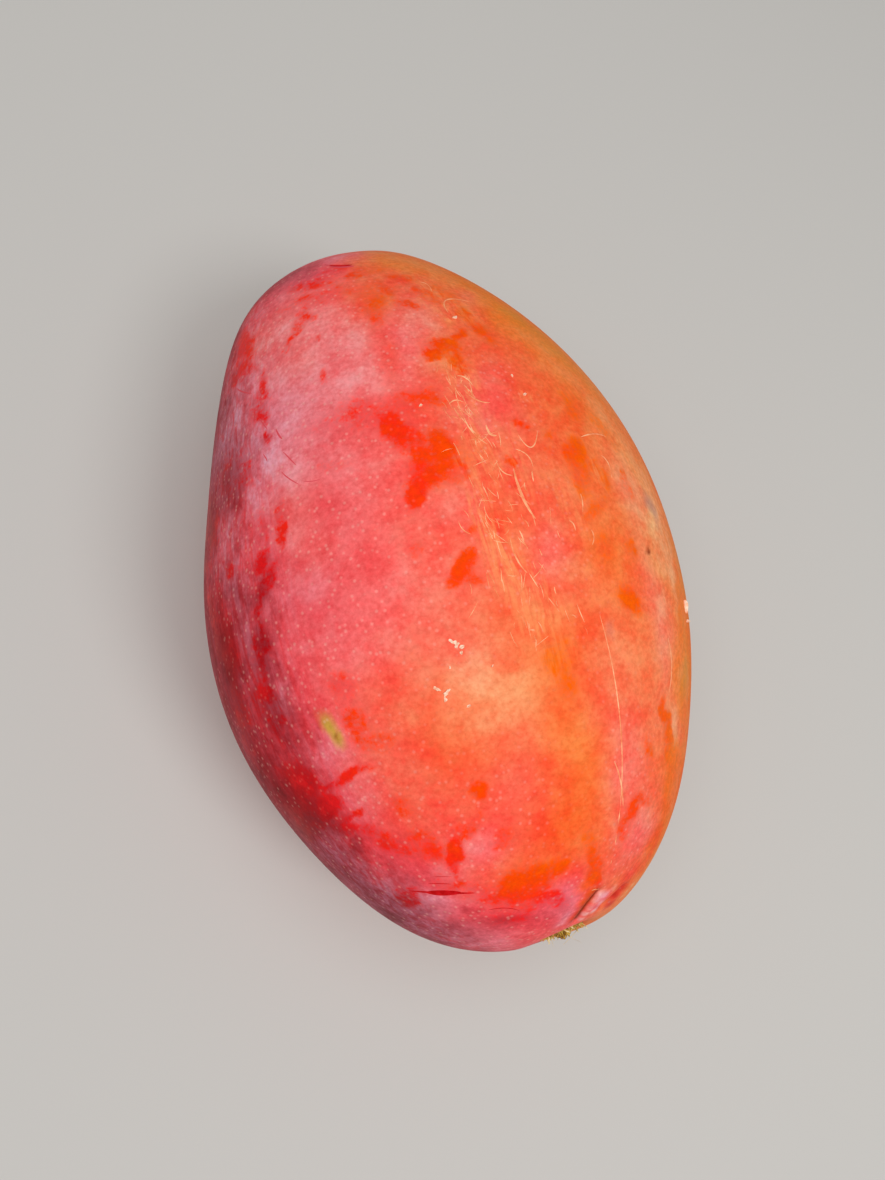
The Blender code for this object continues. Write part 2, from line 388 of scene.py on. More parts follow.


# %% [markdown]
# ## Where the sun reached
#
# Pigment runs from deep maroon through crimson, scarlet and orange to amber as the skin turns away from the
# sun. On this fruit the sunny side is the left one. A cosine of the angle round the fruit gives the broad
# run. A dip towards maroon at the left edge is painted shade, where that side turns away from the light, and
# washes correct the run where the photograph differs; the ones at the far left and right edges darken them
# as painted shade too. Last, the pale lobe, the skin beside the crease and the fold are each drawn towards a
# warmth of their own.

# %% Warmth of the pigment
SUN_TURN = math.radians(20)
WARMTH_LEVEL, WARMTH_SWING = 0.565, 0.275
EDGE_SHADE_DIP, EDGE_SHADE_REACH = 0.20, 0.20
LOBE_LEVEL, CREASE_LEVEL, FOLD_LEVEL = 0.30, 0.58, 0.34
station = (skin_points[:, 1] - AXIS[1]) / (LENGTH / 2)
closing = np.sqrt(np.clip(1 - station ** 2, 0, None))
centre_line = AXIS[0] + closing * profile(SIDEWAYS_BEND, station)
around = np.arctan2(skin_points[:, 2] - AXIS[2], skin_points[:, 0] - centre_line)
warmth = WARMTH_LEVEL + WARMTH_SWING * np.cos(around + SUN_TURN)
# Painted shade: the pigment is pulled towards maroon at the left edge, where that side turns away from the
# light
warmth -= EDGE_SHADE_DIP * np.exp(-(1 + np.cos(around)) / EDGE_SHADE_REACH)
# Washes for the pigment's own colour; the rows at the far left and right edges also paint shade there
WARMTH_AND_EDGE_SHADE_WASHES = [
    (-37.5, 13, 6, 2.5, 80, 0.08), (-7, 32, 6, 2.6, 84, 0.04), (-28, 12, 8, 4, 90, 0.09),
    (-28, -20, 10, 4, 100, 0.08), (-22, -22, 8, 4, 100, 0.06), (-21, 46, 6, 5, 0, 0.06),
    (-22, 36, 6, 4, 0, 0.05), (-23, -38, 6, 4, 120, 0.08), (-13, 5, 10, 5, 90, 0.05),
    (-11, -50, 6, 5, 0, 0.06), (28, 3, 8, 4, 95, -0.10), (25, -37, 4, 4, 80, -0.13),
    (30, -22, 4, 3, 80, -0.08), (-4, 60, 5, 2.5, 0, -0.12), (1, -59, 4, 3, 0, -0.08),
    (-34, 8, 10, 3, 85, 0.03), (4, 54, 9, 7, 150, 0.26), (16, 42, 14, 6, 125, 0.22),
    (26, 27, 14, 5, 115, 0.18), (31, 24, 22, 3.5, 118, 0.02), (33, 5, 16, 5, 95, 0.10),
    (32, -22, 9, 2, 80, 0.14), (22.5, -44, 9, 3, 80, 0.12), (29, -30, 5, 2.5, 60, 0.14),
    (5, -38, 12, 4, 95, 0.12), (-5, -25, 8, 6, 20, 0.12), (13, -40, 10, 6, 80, -0.12),
    (25, -20, 14, 3.5, 80, -0.14), (7, -7, 6, 4, 60, -0.14), (14, -52, 8, 5, 20, -0.16),
    (0, -56, 4, 4, 0, -0.13), (-12, -45, 4, 4, 0, -0.06), (-40, 16, 9, 2.2, 78, -0.04),
    (-38, -16, 14, 4, 98, -0.05), (-35, -38, 10, 3, 118, -0.04), (-24, -52, 14, 5, 130, -0.10),
    (-6, 12, 8, 7, 80, 0.07), (-5, 44, 5, 5, 0, 0.12), (3, 30, 5, 5, 0, 0.12), (-8, -52, 6, 5, 0, 0.10),
    (-31, 23, 7, 4, 80, -0.06), (18, 7, 5, 5, 0, 0.02), (-18, -20, 8, 12, 0, 0.06),
    (-25.5, 45, 5, 3, 80, 0.10), (6, 4, 5, 14, 0, -0.03), (10, 22, 10, 6, 60, -0.08),
    (2, 42, 5, 4, 0, -0.05), (-14, -31, 15, 8, 80, 0.13), (1, -33, 14, 5, 90, 0.08),
    (-3, -14, 9, 8, 0, 0.06), (7, -8, 6, 4, 90, 0.06), (-8, -58, 10, 3.5, 170, -0.16),
    (-12, 59, 9, 4, 165, -0.14), (2, 50, 5, 4, 140, -0.13), (8, 49, 4, 4, 140, -0.14),
    (13, 43, 4, 3, 125, -0.26), (-3, 33, 6, 6, 0, -0.06), (13, 38, 3, 3, 0, -0.06),
    (-36, 8, 12, 3, 82, -0.05), (-33, 3, 9, 1.6, 78, -0.05), (-36, -8, 8, 1.6, 86, -0.05),
    (-11, 10, 6, 8, 0, -0.05), (38, -14, 12, 3, 90, 0.20), (32, -27, 5, 2.5, 60, 0.10),
    (31, 7, 8, 3, 90, -0.05), (-26, 4, 4, 4, 0, 0.04), (4, -2, 16, 5, 90, 0.04),
    (-25, -31, 6, 3.4, 120, 0.08), (0, -48, 6, 6, 0, 0.07), (14, 22, 5, 3, 100, 0.05),
    (29, -9, 6, 3, 95, 0.12), (4.6, -23, 4, 2.5, 90, 0.06), (-13, 56, 6, 3, 165, -0.09),
    (-20, 40, 5, 5, 0, 0.04), (26, 24, 4, 2, 110, -0.12),
]
LOBE_WARMTH = [(6.6, -59.9, 58.0, 1.5, 1.0), (5.6, -61.4, 56.6, 1.2, 1.0)]
BESIDE_CREASE = [
    (4.1, -55.2, 62.9, 1.8, 0.8), (3.0, -56.2, 62.3, 1.7, 0.8), (3.9, -57.9, 60.7, 1.6, 1.0),
    (2.7, -59.3, 59.7, 1.4, 0.9), (3.4, -59.7, 58.9, 1.2, 1.0), (2.3, -61.0, 57.6, 1.2, 1.0),
    (1.2, -61.8, 56.8, 1.0, 0.9),
]
RIGHT_FOLD = [
    (9.9, -61.1, 55.4, 1.4, 1.0), (11.2, -60.2, 55.8, 1.4, 0.9), (8.9, -62.3, 54.2, 1.3, 0.8),
    (12.3, -58.0, 58.0, 1.8, 0.45),
]
warmth = np.clip(warmth + washes(WARMTH_AND_EDGE_SHADE_WASHES), 0.05, 1)
for level, rows in ((LOBE_LEVEL, LOBE_WARMTH), (CREASE_LEVEL, BESIDE_CREASE), (FOLD_LEVEL, RIGHT_FOLD)):
    warmth += (level - warmth) * spots(rows)
warmth += 0.09 * low_side * waves(skin_points, 20, 50, 31)
paint(skin_mesh, "warmth", warmth)

# %% [markdown]
# ## Where the bloom lies
#
# Bloom is wax that the skin sweats out. It lies thickest on the sunny shoulder at the tip and in the
# sheltered band round the stalk, thin on the crown, and not at all where a hand has rubbed it. Some washes
# are painted light: thicker bloom paints a pale highlight low in the middle and a small one left of the
# crease, and thinner bloom at the right edge paints shade there.

# %% Bloom
BLOOM_LEVEL = 0.17
# Most rows set the real bloom; the rows at (-7, -25) and (-0.6, -60.4) are a painted highlight, and the rows
# that thin it at the right edge paint shade
BLOOM_AND_PAINTED_LIGHT_WASHES = [
    (-31, -42, 11, 2.4, 124, 0.12), (-24, -53, 8, 2.4, 138, 0.14), (-27, -12, 7, 4, 95, 0.05),
    (-28, 4, 6, 4, 90, 0.05), (-29, -25, 4, 3, 110, 0.08), (-20, 38, 12, 8, 80, 0.07),
    (-12, 45, 9, 4, 170, 0.07), (-30.5, 21.5, 7, 3.5, 85, 0.12), (-27, 15, 5, 3, 90, 0.07),
    (-34, 28, 7, 2.5, 80, 0.12), (-7, 32, 6, 2.6, 84, -0.17), (-18.8, -48.0, 3.4, 1.1, 161, 0.20),
    (-18.6, -52.6, 3.2, 1.3, 161, 0.20), (-38, 0, 14, 1.6, 88, 0.04), (-36, -16, 10, 1.4, 96, 0.08),
    (-23, 13, 5, 4, 90, -0.09), (-23, -1, 5, 4, 90, -0.06), (-11, -18, 4, 4, 0, 0.07),
    (-5, -36, 6, 5, 90, 0.08), (1, 41, 7, 4, 90, 0.05), (19, 40, 5, 4, 90, -0.11),
    (21, 18, 6, 5, 90, -0.05), (26, -10, 5, 4, 90, 0.10), (16, -24, 5, 4, 90, 0.08),
    (-20, -45, 6, 4, 110, -0.05), (19, -53, 4, 4, 0, -0.10), (-12, -42, 5, 4, 0, -0.05),
    (-14, -59, 5, 3, 160, -0.05), (-8, 51, 7, 4, 170, 0.06), (24, -46, 4, 4, 60, -0.12),
    (-19, 6, 26, 10, 90, 0.06), (-23, 16, 7, 6, 90, 0.06), (-10, 26, 14, 8, 170, 0.03),
    (-22, 42, 7, 5, 80, 0.16), (-12, 35, 9, 7, 20, 0.18), (-24, 27, 10, 8, 100, 0.18),
    (-8, 28, 6, 4, 0, 0.12), (0, 36, 5, 4, 120, 0.16), (-32, 33, 9, 4, 75, 0.14),
    (-37, 11, 7, 2.5, 80, 0.20), (-27, 18, 5, 3, 110, 0.12), (-16, 22, 7, 4, 0, -0.10),
    (-4, 22, 6, 5, 0, -0.08), (-5, 44, 4, 6, 0, -0.08), (-10, 49, 8, 3, 170, -0.08),
    (-24, -2, 6, 8, 90, 0.04), (-28, -1, 3, 5, 100, 0.10), (-31, -26, 3.5, 4.5, 0, 0.16),
    (-27, -33, 3.5, 3, 0, 0.10), (-13, -45, 2.6, 3, 0, 0.20), (-20, -51.5, 5, 1.6, 165, 0.18),
    (-32, -41, 9, 2, 125, 0.08), (-27, -49, 9, 2.5, 130, 0.12), (-19, -57, 9, 3, 145, 0.16),
    (-12, -61, 7, 3, 155, 0.20), (-3, -60, 4, 3, 170, 0.10), (0, -58, 3, 3, 0, 0.12),
    (-0.6, -60.4, 1.6, 0.8, 25, 0.40), (13, -38, 9, 5, 85, 0.10), (16, -51, 5, 4, 30, 0.12),
    (25, -22, 14, 3, 80, 0.14), (24, -38, 6, 1.4, 80, 0.16), (28, 2, 10, 4, 95, 0.14),
    (7, -6, 4, 3.5, 0, 0.10), (8, -12, 4, 4, 0, 0.06), (7, 25, 5, 4, 60, 0.08), (3, 18, 4, 4, 0, 0.08),
    (-4, 4, 4, 3, 0, 0.12), (-35, -16, 2.5, 1.5, 70, 0.20), (-22, -12, 10, 12, 0, -0.02),
    (-15, -28, 9, 8, 0, -0.07), (-3, -40, 8, 10, 0, -0.08), (12, 3, 5, 4, 0, 0.04),
    (-38, -6, 9, 2, 92, 0.06), (-36, -22, 16, 4, 100, -0.08), (-36, -31, 7, 4, 110, -0.12),
    (-5, 58, 7, 3, 170, 0.16), (-17, 55, 5, 3, 40, 0.08), (-7, -25, 8, 5.5, 10, 0.20),
    (24, 34, 22, 5, 122, -0.08), (33, 8, 10, 3, 100, -0.04), (-9, 26, 8, 2.6, 175, 0.06),
    (-11, 19, 6, 3, 150, 0.05), (1, 31, 3, 2.5, 0, 0.08), (-41, -4, 12, 2, 90, -0.12),
    (-36, 12, 8, 3, 78, -0.10), (-23, -49, 5, 5, 130, -0.05), (-16, -58, 9, 4, 150, -0.10),
    (-5, -59.5, 6, 3, 175, -0.12), (13, -58, 6, 4, 25, -0.06), (19, -53, 5, 4, 45, -0.10),
    (25, -46, 5, 4, 70, -0.20), (33.5, 1, 11, 2.2, 95, 0.14), (31.5, -12, 7, 2.0, 88, 0.12),
    (29, 14, 8, 2.5, 108, 0.10), (24, 24, 8, 2, 118, 0.08), (38, 6, 18, 1.6, 95, -0.12),
    (37, -20, 14, 3, 80, -0.24), (27, 33, 12, 5, 115, -0.06), (31, -33, 6, 4, 65, -0.14),
    (17, 49, 8, 3, 130, -0.16), (3, -2, 6, 4, 90, -0.05), (7, -20, 6, 5, 80, -0.07),
    (17, -8, 6, 5, 90, -0.08), (-11, -18, 6, 4, 90, 0.08), (-29, -42, 5, 4, 120, -0.10),
    (-1, 56, 7, 4, 170, -0.10), (-24, 42, 6, 3, 100, 0.08), (-23, 32, 8, 4, 90, 0.09),
    (-20, 24, 6, 4, 170, 0.08), (-10, 49, 9, 2.6, 165, 0.07), (31, -5, 9, 2.6, 90, 0.10),
    (-7, -18, 3, 3, 0, 0.03), (2, 13, 3, 2.5, 90, -0.07), (-7, 0, 4, 3, 20, -0.06),
    (-27, 7, 6, 5, 90, 0.07), (-37, 12, 5, 2, 80, 0.06), (1, 3, 6, 2, 90, -0.05),
    (20, 2, 12, 5, 90, -0.04), (32, -22, 4, 2, 60, -0.08), (2, 40, 5, 5, 0, -0.03),
    (0, -47, 6, 5, 0, -0.06), (13, 32, 5, 3, 110, -0.05), (29, -9, 7, 3, 95, 0.20),
]
LOBE_BLOOM = [
    (6.2, -59.4, 58.8, 1.2, 0.85), (5.3, -60.2, 58.0, 1.1, 0.85), (4.3, -61.1, 57.1, 1.0, 0.85),
    (3.6, -62.1, 56.0, 0.9, 0.8), (3.1, -63.2, 54.5, 0.8, 0.6), (7.0, -59.6, 58.3, 1.1, 0.8),
    (6.2, -60.8, 57.1, 1.1, 0.8), (5.2, -62.0, 55.8, 1.0, 0.75), (8.6, -58.9, 58.2, 1.2, 0.5),
]
FOLD_EDGE = [(14.2, -60.9, 53.2, 0.7, 0.5), (13.0, -61.6, 53.0, 0.6, 0.5), (11.9, -62.3, 52.8, 0.6, 0.45)]
bloom = np.clip(BLOOM_LEVEL + washes(BLOOM_AND_PAINTED_LIGHT_WASHES), 0.02, 0.8)
bloom = np.maximum(bloom, spots(LOBE_BLOOM + FOLD_EDGE))
bloom *= (1 - 0.9 * spots(BESIDE_CREASE)) * (1 - 0.7 * spots(RIGHT_FOLD))
bloom += 0.10 * low_side * (waves(skin_points, 16, 40, 41) + 0.4)
paint(skin_mesh, "bloom", np.clip(bloom, 0, 1))

# %% [markdown]
# ## Where it is rubbed, scuffed and scarred
#
# Rubbed marks show the bare glossy skin. On both flanks the bloom is also wiped into streaks. Scuffs are dull
# and pale, and run along the fruit, as it slid in its crate. One old scar is olive, because the skin under it
# never took the red. There are two small bruises and two brown specks. Painted shade darkens the crease, the
# skin beside it and in the fold, and the pit.
# The hidden side gets rubbed patches and scuffs of its own, where seeded waves are high.

# %% Rubbed patches, scuffs, bruises and the olive scar
RUBBED_MARKS = [
    (-3.6, 12.8, 3.8, 2.6, 100, 1.15), (-6.8, 11.3, 3.4, 2.4, 30, 1.1), (-9.2, 8.0, 2.6, 1.3, 55, 1.05),
    (-8.4, 16.6, 3.6, 2.0, 115, 0.95), (-9.6, 20.3, 2.2, 1.2, 130, 0.80),
    (-4.2, 22.8, 5.4, 1.9, 168, 0.55), (-1.4, 9.6, 1.4, 1.1, 90, 0.85),
    (-15, 22.8, 6.0, 2.8, 176, 0.36), (-13.6, 24.5, 2.4, 1.0, 10, 0.42),
    (-20, 15.6, 2.6, 0.8, 170, 0.35), (2.4, 31.8, 2.8, 1.8, 170, 1.0), (3.8, 28.4, 2.6, 1.3, 95, 0.9),
    (0.9, 30.6, 1.1, 1.1, 0, 0.9), (10.6, 36.6, 3.8, 1.2, 108, 0.75), (8.8, 39.6, 1.3, 1.0, 0, 0.95),
    (6.6, 34, 1.6, 0.8, 20, 0.8), (8, 44, 3.2, 1.5, 110, 0.6), (2, 49.3, 2.3, 1.0, 160, 0.75),
    (0.7, 42, 2.2, 1.4, 150, 0.5), (10.2, 14.9, 1.4, 0.6, 130, 1.1), (6.2, 9.2, 1.4, 0.8, 150, 1.05),
    (13.3, 10, 1.6, 0.9, 150, 0.7), (18.2, 9.6, 2.6, 1.5, 60, 0.95), (17.2, 5, 2.8, 1.8, 80, 0.85),
    (20.2, 6.8, 1.8, 1.2, 30, 0.8), (21.8, 4.2, 1.8, 1.2, 100, 0.85), (21.5, 18, 3.0, 1.8, 100, 0.5),
    (15.2, 13.4, 1.8, 1.2, 40, 0.55), (-7.4, 31.6, 4.0, 1.6, 84, 0.30),
    (-5.5, 43.5, 4.8, 2.2, 95, 0.62), (-10, 48.3, 5.5, 1.6, 172, 0.58), (-13, 53, 4.2, 1.6, 165, 0.55),
    (-15.7, 45.6, 1.7, 0.6, 150, 0.6), (-15, 39.8, 0.9, 0.6, 70, 0.95), (-16.5, 32, 1.6, 1.0, 60, 0.42),
    (-4, 52, 3.4, 1.1, 10, 0.70), (-19.5, 48.8, 2.4, 1.0, 150, 0.40), (-19, 42.4, 8.5, 1.0, 48, 0.42),
    (-25, 35.5, 4.5, 0.9, 62, 0.50), (-27.2, 31, 3.2, 0.8, 86, 0.50), (-2, 47.5, 2.2, 1.0, 130, 0.6),
    (-8.2, 54.6, 2.8, 0.8, 165, 0.45), (4.8, 44.2, 2.4, 1.0, 120, 0.55),
    (-25.8, 46.5, 4.4, 1.3, 80, 0.9), (-26.8, 42.3, 2.6, 1.8, 80, 0.9), (-28.6, 41, 1.8, 0.9, 90, 0.8),
    (-23.8, 54, 3, 1.0, 60, 0.5), (-28, 31.6, 2.4, 0.6, 95, 0.5), (-27.8, 25.2, 0.8, 0.36, 80, 1.1),
    (-33.5, 22.5, 6, 2.4, 80, 0.45), (-39.8, 17, 5.5, 1.4, 76, 0.85),
    (-29.6, 10.5, 3.6, 0.55, 84, 0.75), (-29.4, 8.2, 1.8, 0.5, 78, 1.15),
    (-31.6, 11.2, 2.6, 0.6, 80, 0.6), (-33.3, 5.6, 1.9, 1.2, 60, 0.85),
    (-37.8, 7.4, 1.4, 0.8, 80, 0.85), (-31.6, 3.6, 2.4, 0.7, 62, 0.9), (-33.4, 1.2, 2.4, 0.6, 78, 0.8),
    (-35.4, -4, 4.2, 0.6, 82, 0.85), (-36.6, -8.5, 3.4, 0.7, 86, 0.8), (-37.8, -13, 4.5, 1.0, 88, 0.7),
    (-41.5, -8, 12, 1.2, 93, 0.7), (-36.4, -19, 3.6, 0.9, 96, 0.6), (-5.4, -4.6, 1.9, 1.3, 20, 1.0),
    (-7.0, -5.8, 1.3, 1.1, 60, 1.0), (-5.6, -7.2, 1.7, 0.9, 150, 0.95), (-3.0, -0.8, 0.9, 0.7, 80, 1.0),
    (-12.4, -1.4, 1.3, 0.9, 60, 0.62), (-26.8, -17, 2.2, 1.4, 130, 0.5),
    (-26.2, -21.5, 3.4, 1.6, 120, 0.45), (-24, -26.5, 3.4, 1.4, 150, 0.42),
    (-28.6, -30.2, 2.2, 0.6, 8, 1.05), (-31.8, -30, 2.0, 0.5, 12, 0.95),
    (-32.4, -33, 1.9, 1.3, 40, 1.0), (-29.6, -35.2, 1.6, 0.5, 20, 0.75),
    (-34.9, -29, 3.0, 1.4, 110, 1.0), (-35.4, -34, 3.4, 1.6, 112, 0.95),
    (-31.2, -36.6, 2.4, 1.0, 150, 0.75), (-26.8, -38, 2.0, 1.0, 160, 0.7),
    (-24.6, -41.2, 3.0, 1.2, 110, 0.6), (-20.5, -43, 3.2, 1.8, 120, 0.60),
    (-22.4, -36.2, 2.8, 1.0, 150, 0.45), (-16.2, -45.3, 3.6, 0.8, 84, 1.0),
    (-12.2, -37.6, 1.4, 1.1, 160, 0.85), (-13.6, -41.3, 1.8, 1.0, 60, 0.7),
    (-15.2, -41.8, 1.2, 0.6, 90, 0.7), (-17.8, -49.2, 3.0, 1.2, 160, 0.6),
    (-9.6, -44.2, 1.8, 1.2, 30, 0.5), (-8, -52.5, 4.2, 2.6, 8, 1.05), (-5.4, -54.2, 2.6, 1.4, 30, 0.8),
    (-3, -51.6, 2.8, 1.5, 20, 0.7), (-9.5, -57.2, 3.4, 1.2, 165, 0.7),
    (-13.5, -52.6, 2.2, 1.2, 150, 0.7), (-24, -50.3, 1.9, 1.2, 120, 0.7),
    (-4, -56.6, 3.0, 1.2, 160, 0.6), (4.6, -23.2, 3.6, 1.6, 92, 0.85),
    (4.4, -26.8, 2.2, 1.0, 100, 0.45), (20, -15, 2.2, 1.5, 90, 0.95), (22.4, -8, 1.8, 1.2, 90, 0.6),
    (17, -7, 2.4, 1.4, 60, 0.5), (18, -0.5, 3.2, 1.2, 30, 0.6), (32.2, -20, 6.5, 1.0, 78, 0.85),
    (29.6, -31, 4.4, 1.2, 62, 0.85), (22, -38, 6.0, 1.0, 84, 0.8), (23, -45, 4.4, 2.4, 70, 0.95),
    (14, -46, 1.8, 1.2, 0, 0.55), (11, -48, 2.8, 0.9, 70, 0.6), (4, -53.5, 5.0, 1.0, 92, 0.7),
    (17.2, -40, 2.8, 1.0, 80, 0.5), (26.6, 14, 3.6, 1.2, 105, 0.5), (27.6, 4, 3.2, 0.9, 95, 0.55),
]
low_rubbed = 0.9 * low_side * soft_step(0.55, 1.5, waves(skin_points, 9, 24, 51))
rubbed = (marks(RUBBED_MARKS) + low_rubbed) * (1 - np.clip(1.5 * spots(LOBE_BLOOM), 0, 1))
paint(skin_mesh, "rubbed", rubbed)
paint(skin_mesh, "wiped", soft_step(0.62, 0.95, np.abs(np.cos(around))))

SCUFF_MARKS = [
    (3.4, 24, 5, 2.4, 96, 0.6), (2.0, 14, 7, 1.6, 92, 0.55), (-0.6, 3, 7, 1.5, 88, 0.85),
    (0, -5, 6, 2.2, 92, 0.9), (2.4, -13, 6, 3, 98, 0.7), (8, 40, 5, 2.2, 140, 0.5),
    (5.5, 47, 5, 1.5, 110, 0.5), (6.5, 37.2, 1.6, 1.2, 0, 0.9), (13, 20.5, 1.4, 0.9, 0, 0.6),
    (20.5, 6, 2.2, 1, 100, 0.6), (13, 0, 5, 3, 100, 0.35), (6.6, 8, 7, 3, 90, 0.4),
    (3, -19, 5, 3, 95, 0.4),
]
low_scuffs = 0.7 * low_side * soft_step(0.8, 1.6, waves(skin_points * np.array([1, 0.4, 1]), 10, 22, 61))
paint(skin_mesh, "scuffed", marks(SCUFF_MARKS) + low_scuffs)

OLIVE_MARKS = [(-30.3, -22.0, 1.9, 1.05, 118, 1.0), (-29.3, -24.0, 1.3, 1.0, 110, 1.0)]
BRUISE_MARKS = [(31.6, -0.8, 2.4, 1.1, 95, 1.0), (14.4, -20.2, 1.4, 0.8, 80, 0.45)]
SPECKS = [(-29.1, -24.2, 0.45, 0.25, 110, 0.6), (26.9, -8.7, 0.75, 0.5, 100, 1.0)]
paint(skin_mesh, "olive", marks(OLIVE_MARKS))
paint(skin_mesh, "bruised", marks(BRUISE_MARKS))
# Painted shade: a dark line along the crease, darker skin beside it and in the fold, and the floor of the
# pit. The two specks are real brown marks in the same colour.
beside_crease = CREASE + np.array([-0.7, 0.5, 0.6]) * MM
crease_shade_line = 0.85 * groove(smooth_points, CREASE, 0.40 * MM)
shade_beside = 0.58 * groove(smooth_points, beside_crease, 0.9 * MM) + 0.5 * spots(RIGHT_FOLD[:3])
pit_shade = bell(skin_points, smooth_skin(PIT), 4.4 * MM)
paint(skin_mesh, "crease", np.clip(crease_shade_line + shade_beside + pit_shade + marks(SPECKS), 0, 1))

# %% [markdown]
# ## One function for nodes
#
# Materials are built from nodes. Writing them by hand is long, so one small function adds a node, sets what
# is named, and links what is named. Inputs that share a name are given by their number. All the small pieces
# share one recipe: a noise picks from a few colours, as dry plant matter is never of one colour.

# %% Adding nodes
MATH, REMAP, MIX = "ShaderNodeMath", "ShaderNodeMapRange", "ShaderNodeMix"
NOISE, RAMP, PLACE = "ShaderNodeTexNoise", "ShaderNodeValToRGB", "ShaderNodeTexCoord"
ADD, MULTIPLY = {"operation": "ADD"}, {"operation": "MULTIPLY"}
SMOOTH = {"interpolation_type": "SMOOTHSTEP"}
MIX_FACTOR, MIX_FROM, MIX_TO, MIX_RESULT = 0, 6, 7, 2
REFRACTION = 1.45
DULL_SHINE = 0.06


def add_node(tree, kind, settings, links):
    """Adds a node. A setting names a property or an input, and a link gives an input a socket."""
    node = tree.nodes.new(kind)
    for name, value in settings.items():
        if isinstance(name, int) or name in node.inputs:
            node.inputs[name].default_value = value
        else:
            setattr(node, name, value)
    for name, socket in links.items():
        tree.links.new(socket, node.inputs[name])
    return node


def new_material(name, roughness):
    """A material with this roughness and the refraction of plant matter, and its shader and node tree."""
    material = bpy.data.materials.new(name)
    material.use_nodes = True
    shader = material.node_tree.nodes["Principled BSDF"]
    shader.inputs["Roughness"].default_value = roughness
    shader.inputs["IOR"].default_value = REFRACTION
    shader.inputs["Metallic"].default_value = 0
    return material, shader, material.node_tree


def fill_ramp(ramp, stops):
    """Puts colour stops, each a place from 0 to 1 and a hex colour, on a ramp node."""
    elements = ramp.color_ramp.elements
    while len(elements) < len(stops):
        elements.new(0.5)
    for element, (place, colour) in zip(elements, stops):
        element.position = place
        element.color = linear(colour)


def mottled_material(name, roughness, size, detail, stops, unevenness=0.5):
    """A material coloured by a noise of this size through the stops, and its shader, tree and noise."""
    material, shader, tree = new_material(name, roughness)
    own_place = add_node(tree, PLACE, {}, {}).outputs["Object"]
    noise = add_node(tree, NOISE, {"Scale": 1 / size, "Detail": detail, "Roughness": unevenness},
                     {"Vector": own_place}).outputs["Fac"]
    ramp = add_node(tree, RAMP, {}, {"Fac": noise})
    fill_ramp(ramp, stops)
    tree.links.new(ramp.outputs["Color"], shader.inputs["Base Color"])
    return material, shader, tree, noise


# %% [markdown]
# ## Ripe skin under bloom
#
# The real finish has two layers. Below is the skin, coloured by pigment and faintly glossy, as a plum is.
# Above lies wax bloom, a pale dust that scatters light, so it shows pinkish and dull. Mixing a bloom colour
# over the pigment by the bloom's thickness follows that. Noise of 4.5 mm breaks the edges of rubbed patches,
# noise of 13 mm makes clouds, and noise under 1 mm makes the mottled grain.

# %% The skin's material: noises and masks
CLOUD_SIZE = 13 * MM
RAGGED_SIZE = 4.5 * MM
GRAIN_SIZE = 0.8 * MM
STREAK_SIZE = 1.1 * MM
PORE_SPACING = 1.25 * MM
MASKS = ("warmth", "bloom", "rubbed", "wiped", "scuffed", "olive", "bruised", "crease")

ripe_skin, skin_shader, skin_tree = new_material("ripe waxy mango skin", 0.5)
place = add_node(skin_tree, PLACE, {}, {}).outputs["Object"]
long_way = add_node(skin_tree, "ShaderNodeMapping", {"Scale": (1, 0.13, 1)},
                    {"Vector": place}).outputs["Vector"]
cloud, ragged, grain, streak = [
    add_node(skin_tree, NOISE,
             {"Scale": 1 / size, "Detail": detail, "Roughness": unevenness, "Distortion": swirl},
             {"Vector": way}).outputs["Fac"]
    for size, detail, unevenness, swirl, way in (
        (CLOUD_SIZE, 5, 0.62, 0.5, place), (RAGGED_SIZE, 7, 0.65, 0.0, place),
        (GRAIN_SIZE, 3, 0.6, 0.0, place), (STREAK_SIZE, 4, 0.6, 0.6, long_way))]
masks = {name: add_node(skin_tree, "ShaderNodeAttribute", {"attribute_name": name}, {}).outputs["Fac"]
         for name in MASKS}
print("masks in the skin:", ", ".join(masks))

# %% [markdown]
# ### Pigment, rubbed patches and bloom
#
# Noise lies between 0 and 1, so a noise times a size, less half of it, pushes to both sides. Such pushes move
# the pigment about and bite into the edge of the rubbed patches. The bites are weaker where there is hardly
# a mark, or else they would bare the skin all over. The bloom's mask is then multiplied by what thins it.

# %% Pigment and bloom
cloud_push, ragged_push, bite, nibble = [
    add_node(skin_tree, MATH, {"operation": "MULTIPLY_ADD", 1: size, 2: -size / 2}, {0: noise}).outputs[0]
    for noise, size in ((cloud, 0.30), (ragged, 0.36), (ragged, 3.4), (grain, 1.3))]

# Pigment: the warmth mask, pushed about. Its maroon end shows at the left edge, where it is partly painted
# shade
pushed = add_node(skin_tree, MATH, ADD, {0: masks["warmth"], 1: cloud_push}).outputs[0]
pushed = add_node(skin_tree, MATH, ADD, {0: pushed, 1: ragged_push}).outputs[0]
pigment_ramp = add_node(skin_tree, RAMP, {}, {"Fac": pushed})
fill_ramp(pigment_ramp, [(0.0, "80040E"), (0.12, "B40814"), (0.25, "F01C20"), (0.40, "FC2C12"),
                         (0.54, "F84804"), (0.70, "F66A08"), (0.86, "F07C18"), (1.0, "E08420")])

# Rubbed patches: the mask with its edge bitten
bite = add_node(skin_tree, MATH, ADD, {0: bite, 1: nibble}).outputs[0]
hold = add_node(skin_tree, REMAP, {"From Max": 0.4, "To Min": 0.45},
                {"Value": masks["rubbed"]}).outputs["Result"]
bite = add_node(skin_tree, MATH, MULTIPLY, {0: bite, 1: hold}).outputs[0]
eaten = add_node(skin_tree, MATH, ADD, {0: masks["rubbed"], 1: bite}).outputs[0]
bare = add_node(skin_tree, REMAP, {**SMOOTH, "From Min": 0.10, "From Max": 1.02},
                {"Value": eaten}).outputs["Result"]

